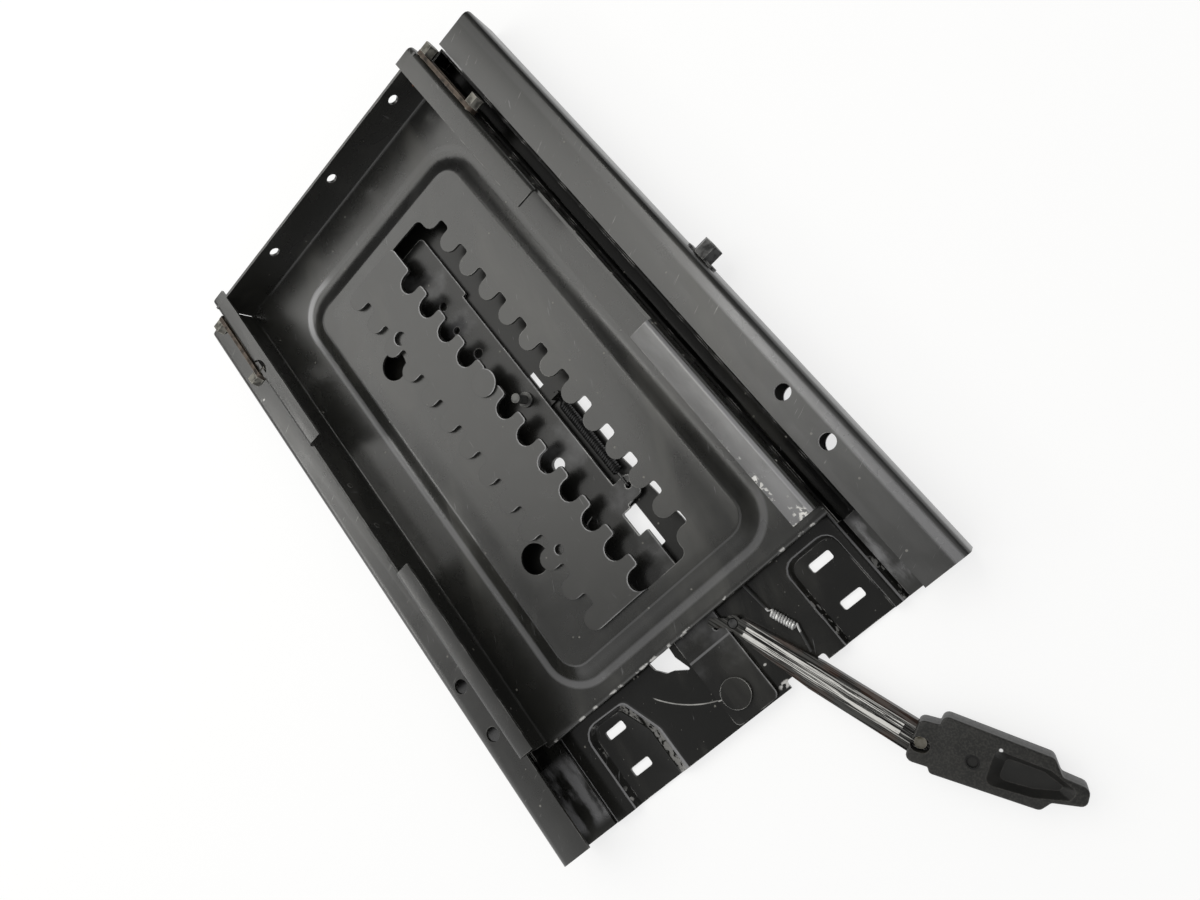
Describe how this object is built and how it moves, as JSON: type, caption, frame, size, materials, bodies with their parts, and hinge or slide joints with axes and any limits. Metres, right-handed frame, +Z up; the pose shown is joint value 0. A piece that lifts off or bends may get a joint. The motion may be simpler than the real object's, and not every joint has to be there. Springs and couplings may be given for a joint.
{
  "type": "seat slide rail",
  "caption": "Seat slide base: a pressed tray slides between two channel rails, with a toothed rack, a swinging latch arm and a hand lever.",
  "frame": {"origin": "centre of the overall footprint, on the plane that the underside rests on", "axes": "+Y along the rails toward the end away from the lever, +X toward the rail with the wide top strip, +Z up"},
  "size_m": [0.345, 0.6438, 0.055],
  "materials": {
    "base_paint": "worn dark grey paint, scratched to metal",
    "cross_paint": "dusty dark grey paint",
    "rail_paint": "satin dark grey paint with rubbed edges",
    "tray_paint": "satin dark grey paint with chips and scratches",
    "rack_paint": "thin grey paint, bright on the tooth edges",
    "runner_paint": "greasy dark grey paint",
    "pad_plastic": "black sliding plastic",
    "clamp_steel": "rough brownish steel",
    "bolt_steel": "dull plated steel",
    "pin_steel": "dark plated steel",
    "arm_paint": "dark grey paint with worn edges",
    "lock_steel": "bright worn steel",
    "lever_paint": "dark paint, bright along its ribs",
    "grip_plastic": "fine grained black moulding",
    "spring_paint": "glossy black coil",
    "spring_steel": "plain spring wire"
  },
  "bodies": {
    "base": {"base_plate": "base_paint", "rear_cross_plate": "cross_paint", "tie_bar": "cross_paint", "right_rail": "rail_paint", "left_rail": "rail_paint", "side_standoff": "pin_steel", "arm_rivet": "pin_steel", "lever_pin": "pin_steel"},
    "tray": {"slide_tray": "tray_paint", "rack_plate": "rack_paint", "rack_rivet": "rack_paint", "right_runner": "runner_paint", "left_runner": "runner_paint", "right_front_pad": "pad_plastic", "right_rear_pad": "pad_plastic", "left_front_pad": "pad_plastic", "left_rear_pad": "pad_plastic", "right_clamp": "clamp_steel", "left_clamp": "clamp_steel", "right_bolt_1": "bolt_steel", "right_bolt_2": "bolt_steel", "left_bolt_1": "bolt_steel", "left_bolt_2": "bolt_steel"},
    "arm": {"latch_arm": "arm_paint", "lock_pin": "lock_steel"},
    "lever": {"lever_bar": "lever_paint", "lever_grip": "grip_plastic", "grip_screw": "lock_steel"},
    "latch_coil": {"latch_spring": "spring_paint"},
    "return_coil": {"return_spring": "spring_steel"}
  },
  "joints": [
    {"name": "tray_slide", "type": "slide", "parent": "base", "child": "tray", "axis": [0, 1, 0], "range_m": [-0.05, 0.1285]},
    {"name": "lever_swing", "type": "hinge", "parent": "base", "child": "lever", "pos_m": [0.0187, -0.13096, 0.0112], "axis": [0, 0, 1], "range_deg": [0, 12]},
    {"name": "arm_swing", "type": "hinge", "parent": "base", "child": "arm", "pos_m": [-0.0092, -0.16576, 0.0101], "axis": [0, 0, 1], "range_deg": [0, 2.05]},
    {"name": "latch_coil_swing", "type": "hinge", "parent": "base", "child": "latch_coil", "pos_m": [0.0215, 0.06694, 0.0104], "axis": [0, 0, 1], "range_deg": [-3.7, 0]},
    {"name": "return_coil_swing", "type": "hinge", "parent": "base", "child": "return_coil", "pos_m": [0.0386, -0.10806, 0.0116], "axis": [0, 0, 1], "range_deg": [0, 11]}
  ],
  "couplings": [
    {"joint": "arm_swing", "follows": "lever_swing", "ratio": 0.168},
    {"joint": "latch_coil_swing", "follows": "lever_swing", "ratio": -0.305},
    {"joint": "return_coil_swing", "follows": "lever_swing", "ratio": 0.9}
  ]
}
